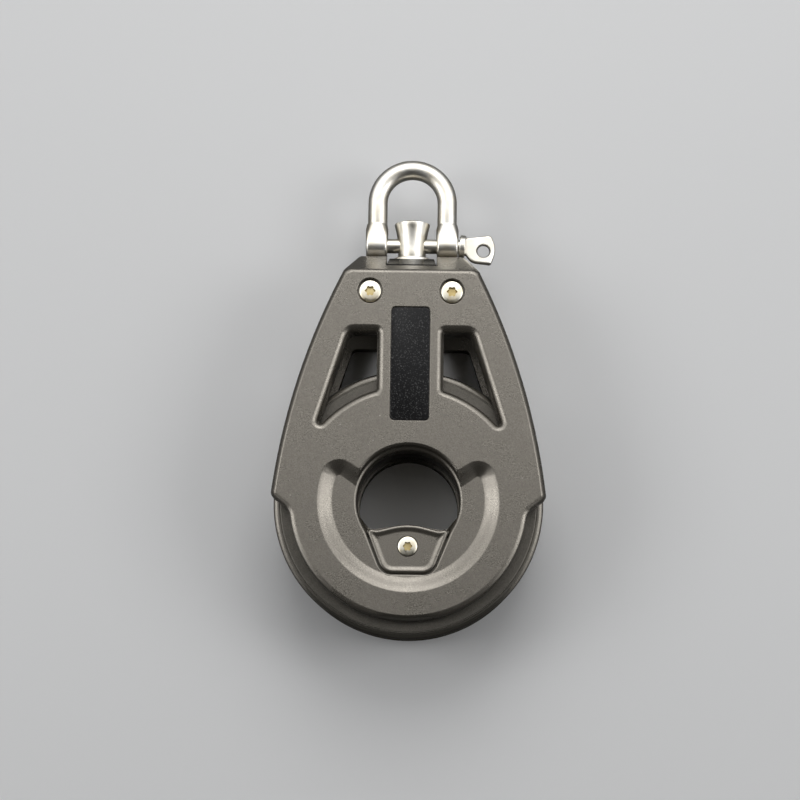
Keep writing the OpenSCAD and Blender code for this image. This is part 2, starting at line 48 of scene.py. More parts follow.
camera = bpy.data.objects.new("camera", bpy.data.cameras.new("camera"))
camera.data.sensor_width = 36
camera.data.lens = 79.49
camera.location = (0.002494, -0.040845, 0.41193)
camera.rotation_euler = (radians(9.311), radians(0.548), radians(0.837))
scene.collection.objects.link(camera)
scene.camera = camera
LAMP_AIM = Vector((0, 0.02, 0.01))


def soft_lamp(name, place, size, power):
    lamp = bpy.data.objects.new(name, bpy.data.lights.new(name, "AREA"))
    lamp.data.size = size
    lamp.data.energy = power
    lamp.location = place
    lamp.rotation_euler = (LAMP_AIM - lamp.location).to_track_quat("-Z", "Y").to_euler()
    scene.collection.objects.link(lamp)


soft_lamp("lamp_behind", (0.02, 0.36, 0.36), 0.30, 0.7)
soft_lamp("lamp_left", (-0.46, 0.04, 0.42), 0.24, 0.6)
soft_lamp("lamp_right", (0.46, 0.04, 0.42), 0.24, 0.6)


def feed(socket, value):
    """Links a socket to another one, or gives it a plain value."""
    if isinstance(value, bpy.types.NodeSocket):
        socket.id_data.links.new(value, socket)
    else:
        socket.default_value = value


def add(tree, kind, inputs=None, **settings):
    """A node with its settings; each input is fed by a plain value or another node's socket."""
    node = tree.nodes.new(kind)
    for key, value in settings.items():
        setattr(node, key, value)
    for label, value in (inputs or {}).items():
        feed(node.inputs[label], value)
    return node


def product(tree, one, other):
    """One value times another."""
    return add(tree, "ShaderNodeMath", {0: one, 1: other}, operation="MULTIPLY").outputs[0]


def ranged(tree, value, start, end, low=0.0, high=1.0):
    """Stretches a value from between start and end to between low and high, and holds it there."""
    node = add(tree, "ShaderNodeMapRange", {"Value": value, "From Min": start, "From Max": end,
                                            "To Min": low, "To Max": high})
    return node.outputs[0]


def blended(tree, factor, one, other):
    """A colour that goes from one to the other as the factor goes from 0 to 1."""
    node = add(tree, "ShaderNodeMix", {"Factor": factor}, data_type="RGBA")
    for label, colour in (("A", one), ("B", other)):
        feed(node.inputs[label], (*colour, 1) if isinstance(colour, tuple) else colour)
    return node.outputs["Result"]


def new_material(name):
    """A material, its node tree and its shader."""
    material = bpy.data.materials.new(name)
    material.use_nodes = True
    return material, material.node_tree, material.node_tree.nodes["Principled BSDF"]


# The sky is lit in bands by height and goes dark on the side of the block's foot. It is stronger
# in what shines than on what is matt, and the camera itself sees an even grey.
SKY_BANDS = ((0.05, 0.03), (0.3, 0.6), (0.55, 0.85), (0.8, 0.74), (1, 0.56))
DARK_LEVEL = 0.015
MATT_STRENGTH = 0.7
GLOSSY_STRENGTH = 2.65
SEEN_STRENGTH = 0.6
world = bpy.data.worlds.new("soft_sky")
world.use_nodes = True
scene.world = world
sky = world.node_tree
direction = add(sky, "ShaderNodeSeparateXYZ", {0: add(sky, "ShaderNodeTexCoord").outputs["Generated"]})
bands = add(sky, "ShaderNodeValToRGB", {0: direction.outputs["Z"]})
bands.color_ramp.interpolation = "EASE"
while len(bands.color_ramp.elements) < len(SKY_BANDS):
    bands.color_ramp.elements.new(0.5)
for stop, (height, level) in zip(bands.color_ramp.elements, SKY_BANDS):
    stop.position = height
    stop.color = (level, level, level, 1)
facing = add(sky, "ShaderNodeMath", {0: direction.outputs["X"], 1: direction.outputs["X"],
                                     2: direction.outputs["Y"]}, operation="MULTIPLY_ADD")
open_side = ranged(sky, facing.outputs[0], 0.02, 0.14, DARK_LEVEL)
ray = add(sky, "ShaderNodeLightPath")
strength = ranged(sky, ray.outputs["Is Glossy Ray"], 0, 1, MATT_STRENGTH, GLOSSY_STRENGTH)
light = product(sky, product(sky, bands.outputs[0], open_side), strength)
shown = add(sky, "ShaderNodeMix", {"Factor": ray.outputs["Is Camera Ray"], "A": light, "B": SEEN_STRENGTH})
feed(sky.nodes["Background"].inputs["Color"], (1, 1, 1, 1))
feed(sky.nodes["Background"].inputs["Strength"], shown.outputs["Result"])

# The table lies a hair under the block. It is pale to the camera, and dim to all other rays so
# that it doesn't light the block.
TABLE_HALF = 1.5
TABLE_PLACE = (0, 0, -0.0001)
PALE_GREY = (0.78, 0.785, 0.79)
DIM_GREY = (0.12, 0.12, 0.12)
table = bmesh.new()
bmesh.ops.create_grid(table, x_segments=1, y_segments=1, size=TABLE_HALF,
                      matrix=Matrix.Translation(TABLE_PLACE))
table_mesh = bpy.data.meshes.new("table")
table.to_mesh(table_mesh)
table_top = bpy.data.objects.new("table", table_mesh)
scene.collection.objects.link(table_top)
table_paint, tree, shader = new_material("table_paint")
is_seen = add(tree, "ShaderNodeLightPath").outputs["Is Camera Ray"]
feed(shader.inputs["Base Color"], blended(tree, is_seen, DIM_GREY, PALE_GREY))
feed(shader.inputs["Roughness"], 0.7)
table_mesh.materials.append(table_paint)

# Cheeks
# The two side plates, moulded in black glass-filled plastic that has gone grey and dusty on
# its fine spark texture. Their moulded shape is the CAD's; sharp rims get a small round here.
BLOCK_T = 27.0
MID = BLOCK_T / 2
DISH_Z = 25.4
POCKET_HALF_W = 11.5
POCKET_LOW_Y = -17
POCKET_MID_Y = -11
POCKET_HIGH_Y = -6
POCKET_SIDE_LEAN = 0.931
HEAD_CORNER_X = 11
HEAD_CORNER_Y = 50.5
NEAR_HUB_R = 13.42
RIM_R = 0.18
WARM_GLOSS = (1.0, 0.93, 0.82, 1)
DUST = (0.5, 0.49, 0.46)


def new_group(name, inputs, outputs):
    """An empty shader group with float inputs and the named outputs."""
    group = bpy.data.node_groups.new(name, "ShaderNodeTree")
    for label, value in inputs:
        group.interface.new_socket(label, in_out="INPUT", socket_type="NodeSocketFloat").default_value = value
    for label in outputs:
        group.interface.new_socket(label, in_out="OUTPUT", socket_type="NodeSocketFloat")
    return group, group.nodes.new("NodeGroupInput").outputs, group.nodes.new("NodeGroupOutput").inputs


def place_group(tree, group):
    return add(tree, "ShaderNodeGroup", node_tree=group).outputs


# Spark texture of the mould: fine pits, broad cloudy patches of rubbed and dull skin, and dust
grain, grain_in, grain_out = new_group(
    "spark_texture", [("Grain", 4500.0), ("Patch", 110.0)], ["Height", "Patches", "Specks"])
spot = add(grain, "ShaderNodeTexCoord").outputs["Object"]
pits = add(grain, "ShaderNodeTexNoise",
           {"Vector": spot, "Scale": grain_in["Grain"], "Detail": 3.0, "Roughness": 0.6})
clouds = add(grain, "ShaderNodeTexNoise",
             {"Vector": spot, "Scale": grain_in["Patch"], "Detail": 5.0, "Roughness": 0.62})
cells = add(grain, "ShaderNodeTexVoronoi", {"Vector": spot, "Scale": 520.0, "Randomness": 1.0})
lot = add(grain, "ShaderNodeTexWhiteNoise", {"Vector": cells.outputs["Position"]})
few = add(grain, "ShaderNodeMath", {0: lot.outputs["Value"], 1: 0.86}, operation="GREATER_THAN")
feed(grain_out["Height"], pits.outputs["Fac"])
feed(grain_out["Patches"], clouds.outputs["Fac"])
cores = ranged(grain, cells.outputs["Distance"], 0.10, 0.04)
feed(grain_out["Specks"], product(grain, cores, few.outputs[0]))

# Rim polish and painted highlight: where a rounded edge leaves the flat face, picked by the slope of the
# surface, the skin is polished and painted paler as a highlight
rim_polish_and_highlight, rim_highlight_in, rim_highlight_out = new_group("rim_polish_and_highlight", [("Start", 0.985), ("End", 0.80)], ["Rub"])
lean = add(rim_polish_and_highlight, "ShaderNodeSeparateXYZ", {0: add(rim_polish_and_highlight, "ShaderNodeTexCoord").outputs["Normal"]})
upright = add(rim_polish_and_highlight, "ShaderNodeMath", {0: lean.outputs["Z"]}, operation="ABSOLUTE").outputs[0]
rise = ranged(rim_polish_and_highlight, upright, rim_highlight_in["Start"], 0.955)
fall = ranged(rim_polish_and_highlight, upright, rim_highlight_in["End"], 0.93)
feed(rim_highlight_out["Rub"], product(rim_polish_and_highlight, rise, fall))


def moulded_plastic(name, dull, rubbed_and_highlit, rough, bump, rim_highlight_amount=0.6, speck_amount=0.5, sheen=0.5):
    """Matt moulded plastic: dull is its own colour; the second colour is paler skin in random rubbed patches
    and, on rims, a painted highlight.
    """
    material, tree, shader = new_material(name)
    feed(shader.inputs["IOR"], 1.75)
    feed(shader.inputs["Specular Tint"], WARM_GLOSS)
    texture = place_group(tree, grain)
    mottle = ranged(tree, texture["Patches"], 0.32, 0.68, 0.0, 0.6)
    # Painted highlight on rims at a chosen slope: the paler colour there, with a lower roughness for their
    # polish
    polish_and_highlight = product(tree, place_group(tree, rim_polish_and_highlight)["Rub"], rim_highlight_amount)
    amount = add(tree, "ShaderNodeMath", {0: mottle, 1: polish_and_highlight}, operation="ADD", use_clamp=True).outputs[0]
    dust = product(tree, texture["Specks"], speck_amount)
    skin = blended(tree, dust, blended(tree, amount, dull, rubbed_and_highlit), DUST)
    feed(shader.inputs["Base Color"], skin)
    feed(shader.inputs["Roughness"], ranged(tree, amount, 0, 1, rough, rough - 0.22))
    relief = add(tree, "ShaderNodeBump", {"Height": texture["Height"], "Strength": bump, "Distance": 0.00006})
    feed(shader.inputs["Normal"], relief.outputs[0])
    glint = ranged(tree, texture["Height"], 0.35, 0.65, sheen * 0.72, sheen * 1.16)
    feed(shader.inputs["Specular IOR Level"], glint)
    return material


def copy_of(node):
    """The CAD solid as one clean mesh in millimetres."""
    bm = bmesh.new()
    bm.from_mesh(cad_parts[node].data)
    bmesh.ops.scale(bm, vec=(1000, 1000, 1000), verts=bm.verts)
    bmesh.ops.remove_doubles(bm, verts=bm.verts, dist=0.002)
    bmesh.ops.dissolve_limit(bm, angle_limit=radians(0.3), verts=bm.verts, edges=bm.edges)
    return bm


def sharp_edges(bm, angle=35):
    """The edges where two faces meet at more than an angle, in degrees."""
    return [e for e in bm.edges if len(e.link_faces) == 2 and e.calc_face_angle() > radians(angle)]


def bevelled(bm, corners, radius, steps, affect="EDGES"):
    """Rounds the edges given, or the corners of an outline where affect says vertices."""
    bmesh.ops.bevel(bm, geom=corners, offset=radius, offset_type="OFFSET", segments=steps, profile=0.5,
                    affect=affect, clamp_overlap=False, material=-1)


def rounded(bm, chosen, radius, steps):
    """Rounds the convex edges whose ends chosen(place) picks out."""
    rims = [e for e in sharp_edges(bm) if e.is_convex and all(chosen(v.co) for v in e.verts)]
    bevelled(bm, rims, radius, steps)


def hand_over(bm, name, body, material, node, sharp=38):
    """A piece worked in millimetres becomes a shaded mesh in metres that rides on its body."""
    bmesh.ops.scale(bm, vec=(0.001, 0.001, 0.001), verts=bm.verts)
    for face in bm.faces:
        face.smooth = True
    mesh = bpy.data.meshes.new(name)
    bm.to_mesh(mesh)
    bm.free()
    mesh.set_sharp_from_angle(angle=radians(sharp))
    mesh.materials.append(material)
    piece = bpy.data.objects.new(name, mesh)
    scene.collection.objects.link(piece)
    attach(piece, body)
    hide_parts(node)
    return piece


def flat_faces_first(piece):
    """Lets large flat faces keep their own direction beside small rounds."""
    weighted = piece.modifiers.new("flat_faces", "WEIGHTED_NORMAL")
    weighted.keep_sharp = True
    weighted.weight = 80


def lofted(bm, rows):
    """Adds a closed solid that runs through rows of points, with flat ends."""
    rings = [[bm.verts.new(point) for point in row] for row in rows]
    for low, high in zip(rings, rings[1:]):
        for k in range(len(low)):
            bm.faces.new((low[k - 1], low[k], high[k], high[k - 1]))
    bm.faces.new(rings[0])
    bm.faces.new(rings[-1])
    bmesh.ops.recalc_face_normals(bm, faces=bm.faces)
    return bm


def without(bm, cutter):
    """A mesh with a closed cutter taken out of it, both worked in millimetres."""
    spares = []
    for source in (bm, cutter):
        mesh = bpy.data.meshes.new("spare")
        source.to_mesh(mesh)
        source.free()
        spares.append(bpy.data.objects.new("spare", mesh))
        scene.collection.objects.link(spares[-1])
    boolean = spares[0].modifiers.new("cut", "BOOLEAN")
    boolean.object = spares[1]
    boolean.solver = "EXACT"
    bpy.context.view_layer.update()
    result = bpy.data.meshes.new_from_object(spares[0].evaluated_get(bpy.context.evaluated_depsgraph_get()))
    rest = bmesh.new()
    rest.from_mesh(result)
    for mesh in [spare.data for spare in spares] + [result]:
        bpy.data.meshes.remove(mesh)
    return rest


def box_of(place, size):
    """A closed box, by its middle and its size."""
    bm = bmesh.new()
    bmesh.ops.create_cube(bm, size=1, matrix=Matrix.Translation(place) @ Matrix.Diagonal((*size, 1)))
    return bm


def at_key_pocket(p):
    """A place on the lip of the key's pocket, in the floor of the dish."""
    return abs(p.z - DISH_Z) < 0.02 and abs(p.x) < POCKET_HALF_W and POCKET_LOW_Y < p.y < POCKET_HIGH_Y


def at_small_rim(p):
    """A place on the cheek's plain rims, away from its lip, its head's corners and the hub hole."""
    at_corner = abs(p.x) > HEAD_CORNER_X and p.y > HEAD_CORNER_Y
    at_hub_hole = p.x * p.x + p.y * p.y < NEAR_HUB_R ** 2
    return not (at_key_pocket(p) or at_corner or at_hub_hole)


LIP_BROAD = 0.75
LIP_NARROW = 0.22
LIP_TAPER = 0.4
LIP_RUN_OUT = 5
DISH_WALL_Y = -13.4


def lip_path(bm):
    """The lip of the key's pocket from end to end, each end drawn out along the pocket's side."""
    links = {}
    for edge in sharp_edges(bm):
        if edge.is_convex and all(at_key_pocket(v.co) for v in edge.verts):
            for vert in edge.verts:
                links.setdefault(vert, []).append(edge)
    at = next(v for v, ways in links.items() if len(ways) == 1)
    path = [at.co.copy()]
    used = set()
    while any(e not in used for e in links[at]):
        way = next(e for e in links[at] if e not in used)
        used.add(way)
        at = way.other_vert(at)
        path.append(at.co.copy())
    for _ in range(2):
        path.reverse()
        while abs((path[0] - path[1]).normalized().y - POCKET_SIDE_LEAN) > 0.02:
            path.pop(0)
        path[0] += (path[0] - path[1]).normalized() * LIP_RUN_OUT
    return path


def lip_cutter(bm):
    """What rounds the pocket's lip: broad beside the key, narrow where the dish's wall begins."""
    path = lip_path(bm)
    rows = []
    for i, p in enumerate(path):
        way = (path[min(i + 1, len(path) - 1)] - path[max(i - 1, 0)]).normalized()
        out = Vector((way.y, -way.x, 0))
        if out.dot(Vector((p.x, p.y - POCKET_MID_Y, 0))) < 0:
            out.negate()
        r = max(LIP_NARROW, min(LIP_BROAD, LIP_BROAD - (DISH_WALL_Y - p.y) * LIP_TAPER))
        section = [(-0.5, 0.4), (-0.5, -r - 0.02), (-0.02, -r - 0.02)]
        section += [(r - r * cos(radians(t)), -r + r * sin(radians(t))) for t in (15, 30, 45, 60, 75, 88)]
        section += [(r * 1.03, 0.01), (r * 1.03, 0.4)]
        rows.append([p + out * a + Vector((0, 0, b)) for a, b in section])
    return lofted(bmesh.new(), rows)


# The corner of a cheek's outer face and of the sloping head below it: x, y, depth under the face
CORNER_LINE = [(14.29, 50.96, -0.3), (14.29, 50.96, 0), (14.25, 51.13, 0.02), (14.27, 51.38, 0.08),
               (14.36, 51.72, 0.24), (14.51, 51.91, 0.42), (14.59, 52.08, 0.64), (14.71, 52.23, 0.91),
               (14.74, 52.6, 1.52), (14.59, 53.0, 2.2), (12.61, 56.32, 7.84), (11.5, 58.18, 11.0)]
CORNER_R = 2.4
CORNER_LIFT = 0.012


def corner_cutter(face):
    """What rounds the two corners of a cheek's outer face and, below them, of its sloping head."""
    cutter = bmesh.new()
    for side in (-1, 1):
        slope, wall = Vector((0, 1, 0)), Vector((side * 0.859, 0.512, 0))
        centre = (slope + wall) * (CORNER_LIFT - CORNER_R / (1 + slope.dot(wall)))
        section = [centre + slope.slerp(wall, i / 10) * CORNER_R for i in range(11)]
        section += [section[-1] + wall * 0.6, (slope + wall) * 0.7, section[0] + slope * 0.6]
        lofted(cutter, [[p + Vector((side * x, y, MID + face * (MID - depth))) for p in section]
                        for x, y, depth in CORNER_LINE])
    return cutter


# The windows' rims: slope and shift of each stretch that gives the new depth from the CAD's
WINDOW_RIM = ((0.35, 0), (0.42, -0.11), (1, -1.8), (2.2, -6.96))
WINDOW_RIM_DEPTH = 5.8
WINDOW_IN_X = 5
WINDOW_TOP_Y = 41
WINDOW_FOOT_R = 22


def soften_windows(bm, face):
    """Gives the windows' rims a broader, flatter round, without moving where they begin and end."""
    for vert in bm.verts:
        x, y, depth = abs(vert.co.x), vert.co.y, MID - face * (vert.co.z - MID)
        across = WINDOW_IN_X < x < 15.5 + (39.5 - y) * 0.32
        along = y < WINDOW_TOP_Y and x * x + y * y > WINDOW_FOOT_R ** 2
        if across and along and 0 < depth < WINDOW_RIM_DEPTH:
            depth = max(slope * depth + shift for slope, shift in WINDOW_RIM)
            vert.co.z = MID + face * (MID - depth)


cheek_plastic = moulded_plastic("cheek_plastic", (0.034, 0.031, 0.026), (0.07, 0.064, 0.053), 0.35, 0.5,
                                rim_highlight_amount=0.0, sheen=1.0)
for node, face in (("back_cheek", -1), ("front_cheek", 1)):
    moulding = copy_of(node)
    soften_windows(moulding, face)
    # The head's slot reaches 1 mm nearer to the face than the solid's
    moulding = without(moulding, box_of((0, 50.5, MID + face * 9.75), (11.4, 15, 1.3)))
    if face == 1:
        moulding = without(moulding, lip_cutter(moulding))
    moulding = without(moulding, corner_cutter(face))
    rounded(moulding, at_small_rim, RIM_R, 2)
    flat_faces_first(hand_over(moulding, node + "_moulding", "block", cheek_plastic, node))

# Hub key
# The keystone plug in the foot of the hub, moulded in the same plastic and held by one
# screw. A soft raised rim with a wavy top edge runs round its sunk face.
KEY_CORNERS = [((-5.4, -15.8), 3.3), ((5.4, -15.8), 3.3), ((9.25, -5.85), 0.75), ((7.0, -6.5), 3.0),
               ((0, -4.75), 14.0), ((-7.0, -6.5), 3.0), ((-9.25, -5.85), 0.75)]
KEY_SCREW_Y = -9.9
KEY_BODY_CUTS = (((0, -9, 25.3), (30, 20, 4)), ((10.35, -3.4, 21.8), (4.3, 5.9, 3.4)),
                 ((-10.35, -3.4, 21.8), (4.3, 5.9, 3.4)))


def key_outline(inset):
    """The key's outline moved inwards, with its corners rounded again."""
    points = [Vector(p) for p, _ in KEY_CORNERS]
    loop = []
    for i, (_, radius) in enumerate(KEY_CORNERS):
        before = (points[i] - points[i - 1]).normalized()
        after = (points[(i + 1) % len(points)] - points[i]).normalized()
        hand = 1 if before.x * after.y - before.y * after.x > 0 else -1
        left, right = Vector((-before.y, before.x)), Vector((-after.y, after.x))
        spread = (left + right) / (1 + left.dot(right))
        bend = max(radius - inset, 0.3) if hand > 0 else radius + inset
        centre = points[i] + spread * (inset + hand * bend)
        for k in range(9):
            loop.append(centre - left.slerp(right, k / 8) * hand * bend)
    return loop


def key_top():
    """The key's outer plate, from its foot up over the soft rim to the sunk face."""
    rows = [(0.0, -2.1), (0.0, -0.5)]
    rows += [(0.5 - 0.5 * cos(radians(t)), -0.5 + 0.5 * sin(radians(t))) for t in (18, 36, 54, 72, 90)]
    rows += [(0.64, -0.01), (0.8, -0.05), (1.0, -0.14), (1.25, -0.24), (1.45, -0.29), (1.65, -0.3)]
    return lofted(bmesh.new(), [[(p.x, p.y, DISH_Z + height) for p in key_outline(inset)]
                                for inset, height in rows])


def joined(base, other):
    """Adds a second worked mesh to the first."""
    spare = bpy.data.meshes.new("spare")
    other.to_mesh(spare)
    other.free()
    base.from_mesh(spare)
    bpy.data.meshes.remove(spare)
    return base


def turned(profile, steps=96, closed=True):
    """Spins a profile of (radius, height) points round Z into a solid."""
    bm = bmesh.new()
    verts = [bm.verts.new((r, 0, z)) for r, z in profile]
    edges = [bm.edges.new(pair) for pair in zip(verts, verts[1:])]
    if closed:
        edges.append(bm.edges.new((verts[-1], verts[0])))
    bmesh.ops.spin(bm, geom=verts + edges, cent=(0, 0, 0), axis=(0, 0, 1), dvec=(0, 0, 0), angle=tau,
                   steps=steps, use_merge=True, use_duplicate=False)
    bmesh.ops.remove_doubles(bm, verts=bm.verts, dist=0.0005)
    bmesh.ops.recalc_face_normals(bm, faces=bm.faces)
    return bm


def moved(bm, x, y, z):
    bmesh.ops.translate(bm, vec=(x, y, z), verts=bm.verts)
    return bm


# The solid's body stays; its outer plate and its tips beside the hub hole make way for the new one
key_body = copy_of("hub_key")
for place, size in KEY_BODY_CUTS:
    key_body = without(key_body, box_of(place, size))
screw_way = turned([(0, -2), (2.3, -2), (2.3, 0.1), (2.5, 0.1), (2.5, 2), (0, 2)], 48, closed=False)
key = joined(key_body, without(key_top(), moved(screw_way, 0, KEY_SCREW_Y, 25.0)))
flat_faces_first(hand_over(key, "hub_key_moulding", "block", cheek_plastic, "hub_key"))

# Sheave
# The rope wheel, turned to shape from a darker plastic: two thin flanges, whose rims are polished and painted
# paler as a highlight, round a deep rope groove, and races for two rows of balls inside.
BALL_PITCH_R = 16.1
BALL_ROW_Z = 3.4
BALL_RACE_R = 2.1
FLANGE_TOP = 7.3


def arc(x, z, radius, start, end, steps):
    """Points of an arc in a profile, from one angle to another."""
    return [(x + radius * cos(radians(start + (end - start) * i / steps)),
             z + radius * sin(radians(start + (end - start) * i / steps))) for i in range(steps + 1)]


def mirrored_profile(upper):
    """The upper half of a profile and its mirror image below the mid plane."""
    return upper + [(r, -z) for r, z in reversed(upper)]


def dress(nodes, material):
    """Gives the CAD pieces that stay as they are their material."""
    for node in nodes:
        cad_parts[node].data.materials.clear()
        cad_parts[node].data.materials.append(material)


rope_groove = arc(28.4, 0, 6.4, 180, 90, 14)
flange_edge = [(29.75, 6.4), (29.93, 6.46), (30, 6.6), (29.96, 6.76), (29.85, 6.91), (29.6, 7.06),
               (29.3, 7.19), (29.0, 7.27), (28.7, FLANGE_TOP), (28.6, 7.24), (28.45, 7.24),
               (28.35, FLANGE_TOP)]
cover_seat = [(19.75, FLANGE_TOP), (19.55, 7.1), (19.55, 5.6), (18.2, 5.6)]
outer_race = arc(BALL_PITCH_R, BALL_ROW_Z, BALL_RACE_R, 0, -58, 8) + [(17.2, 1.6)]
wheel = turned(mirrored_profile(rope_groove + flange_edge + cover_seat + outer_race), 192)
sheave_plastic = moulded_plastic("sheave_plastic", (0.013, 0.0125, 0.01), (0.05, 0.047, 0.04), 0.4, 0.4,
                                 rim_highlight_amount=0.8, speck_amount=0.7, sheen=0.55)
hand_over(moved(wheel, 0, 0, MID), "sheave_wheel", "sheave", sheave_plastic, "sheave",
          sharp=30)

# The thin snap rings that hold each row of balls in the sheave, and the balls themselves
cover_plastic = moulded_plastic("cover_plastic", (0.03, 0.03, 0.03), (0.06, 0.06, 0.06), 0.45, 0.1)
dress(("front_ball_cover", "back_ball_cover"), cover_plastic)
ball_plastic = moulded_plastic("ball_plastic", (0.78, 0.78, 0.74), (0.84, 0.84, 0.8), 0.3, 0.05,
                               rim_highlight_amount=0.1, speck_amount=0.0)
dress(("front_balls", "back_balls", "thrust_washer"), ball_plastic)

# Hub ring
# The fixed inner race that shows as the smooth black wall of the hub hole, machined from
# plastic and clamped between the cheeks.
ring_upper = [(15.0, 1.2), (15.0, 1.6)] + arc(BALL_PITCH_R, BALL_ROW_Z, BALL_RACE_R, -121, -239, 10)
ring_upper += [(15.0, 5.3), (15.0, 7.5), (14.8, 7.7), (12.0, 7.7), (11.8, 7.5)]
race_plastic = moulded_plastic("race_plastic", (0.025, 0.025, 0.025), (0.05, 0.05, 0.05), 0.28, 0.05,
                               speck_amount=0.0)
hand_over(moved(turned(mirrored_profile(ring_upper), 128), 0, 0, MID), "hub_race", "block",
          race_plastic, "hub_ring")

# Screws and nuts
# Stainless pan-head screws with a six-lobed recess, two at the head and one in the key, and
# the hexagon nuts sunk in the back cheek.
HEAD_SCREW_X = 9.15
HEAD_SCREW_Y = 46.9
LOBE_STEPS = 72
RECESS_R = 1.25

smear, smear_in, smear_out = new_group("metal_smear", [("Scale", 260.0)], ["Tone", "Haze"])
spot = add(smear, "ShaderNodeTexCoord").outputs["Object"]
tones = add(smear, "ShaderNodeTexNoise", {"Vector": spot, "Scale": smear_in["Scale"], "Detail": 3.0,
                                          "Roughness": 0.5, "Distortion": 0.6})
hazes = add(smear, "ShaderNodeTexNoise", {"Vector": spot, "Scale": 1500.0, "Detail": 4.0})
feed(smear_out["Tone"], tones.outputs["Fac"])
feed(smear_out["Haze"], hazes.outputs["Fac"])


def steel(name, bright, warm, polish, haze):
    """Stainless steel: bright and warm are its two tints, polish and haze its roughness."""
    material, tree, shader = new_material(name)
    feed(shader.inputs["Metallic"], 1.0)
    marks = place_group(tree, smear)
    feed(shader.inputs["Base Color"], blended(tree, ranged(tree, marks["Tone"], 0.4, 0.66), bright, warm))
    feed(shader.inputs["Roughness"], ranged(tree, marks["Haze"], 0.3, 0.7, polish, haze))
    relief = add(tree, "ShaderNodeBump", {"Height": marks["Haze"], "Strength": 0.08, "Distance": 0.00004})
    feed(shader.inputs["Normal"], relief.outputs[0])
    return material


screw_steel = steel("screw_steel", (0.68, 0.66, 0.58), (0.6, 0.53, 0.38), 0.26, 0.38)
# Painted shade: the steel of the screws' recesses, darker and warmer than their heads
recess_shaded_steel = steel("recess_shaded_steel", (0.5, 0.42, 0.22), (0.4, 0.31, 0.14), 0.35, 0.5)


def lobed_ring(radius, share, height):
    """A six-lobed outline inside a screw's head, at one height."""
    ring = []
    for k in range(LOBE_STEPS):
        t = tau * k / LOBE_STEPS
        reach = (0.44 + 0.06 * cos(6 * t)) * radius * share
        ring.append((reach * cos(t), reach * sin(t), height))
    return ring


def pan_head(x, y, foot, radius, length, shank):
    """One pan-head screw: a low head with rounded rim, a six-lobed recess and a plain shank."""
    top = foot + radius * 0.47
    outline = [(0, foot - length), (shank, foot - length), (shank, foot), (radius - 0.1, foot)]
    outline += [(radius, foot + 0.1), (radius, top - 0.42)] + arc(radius - 0.3, top - 0.42, 0.3, 15, 75, 4)
    outline += [(radius * 0.7, top - 0.06), (radius * 0.4, top), (0, top)]
    lobes = lofted(bmesh.new(), [lobed_ring(radius, 0.9, top - 0.75), lobed_ring(radius, 1.0, top + 0.5)])
    return moved(without(turned(outline, 48, closed=False), lobes), x, y, 0)


def pair_of(piece, *sizes):
    """The same piece on the left and on the right of the head."""
    return joined(piece(-HEAD_SCREW_X, HEAD_SCREW_Y, *sizes), piece(HEAD_SCREW_X, HEAD_SCREW_Y, *sizes))


# The recess of each screw is painted darker, as shade, and warmer: its faces lie just under the crown
for node, bm, x, y in (
        ("hub_screw", pan_head(0, KEY_SCREW_Y, 24.3, 2.2, 22.5, 1.25), 0, KEY_SCREW_Y),
        ("head_screws", pair_of(pan_head, 25.6, 2.5, 25.3, 1.45), HEAD_SCREW_X, HEAD_SCREW_Y)):
    screw = hand_over(bm, node + "_steel", "block", screw_steel, node, sharp=30)
    screw.data.materials.append(recess_shaded_steel)
    crown_z = max(v.co.z for v in screw.data.vertices) * 1000
    for face in screw.data.polygons:
        middle = face.center * 1000
        from_axis = Vector((abs(middle.x) - x, middle.y - y)).length
        if crown_z - 0.8 < middle.z < crown_z - 0.1 and from_axis < RECESS_R:
            face.material_index = 1


def swung(bm, angle, axis):
    """Turns a piece about one of the axes, by an angle in radians."""
    bmesh.ops.rotate(bm, cent=(0, 0, 0), matrix=Matrix.Rotation(angle, 3, axis), verts=bm.verts)
    return bm


def hexagon_nut(x, y, foot, height, across, bore):
    """One hexagon nut: chamfered at its outer corners, with a plain bore."""
    corner = across / 2 / cos(pi / 6)
    outline = [(0, foot), (corner - 0.35, foot), (corner, foot + 0.2), (corner, foot + height),
               (0, foot + height)]
    drill = [(0, foot - 1), (bore + 0.3, foot - 1), (bore + 0.3, foot), (bore, foot + 0.3),
             (bore, foot + height + 1), (0, foot + height + 1)]
    nut = swung(turned(outline, 6, closed=False), pi / 6, "Z")
    return moved(without(nut, turned(drill, 48, closed=False)), x, y, 0)


for node, bm in (("hub_nut", hexagon_nut(0, KEY_SCREW_Y, 1.8, 2, 5, 1.3)),
                 ("head_nuts", pair_of(hexagon_nut, 0.2, 2.4, 5.5, 1.5))):
    hand_over(bm, node + "_steel", "block", screw_steel, node, sharp=25)
dress(("swivel_nut", "nut_pin", "steel_washer"), screw_steel)

# Name panel
# The glossy inlay in its recess between the windows. It is bare: a black lacquer over a
# fine metallic speckle.
panel_gloss, tree, shader = new_material("panel_gloss")
feed(shader.inputs["Specular IOR Level"], 0.12)
spot = add(tree, "ShaderNodeTexCoord").outputs["Object"]
flakes = add(tree, "ShaderNodeTexNoise", {"Vector": spot, "Scale": 3200.0, "Detail": 2.0}).outputs["Fac"]
speckle = blended(tree, ranged(tree, flakes, 0.56, 0.78), (0.008, 0.008, 0.0085), (0.13, 0.13, 0.13))
feed(shader.inputs["Base Color"], speckle)
feed(shader.inputs["Roughness"], ranged(tree, flakes, 0, 1, 0.3, 0.5))
relief = add(tree, "ShaderNodeBump", {"Height": flakes, "Strength": 0.25, "Distance": 0.00003})
feed(shader.inputs["Normal"], relief.outputs[0])
panel = copy_of("name_panel")
panel_rims = [e for e in sharp_edges(panel)
              if all(near.calc_length() > 0.05 for v in e.verts for near in v.link_edges)]
bevelled(panel, panel_rims, 0.08, 2)
hand_over(panel, "name_panel_inlay", "block", panel_gloss, "name_panel")

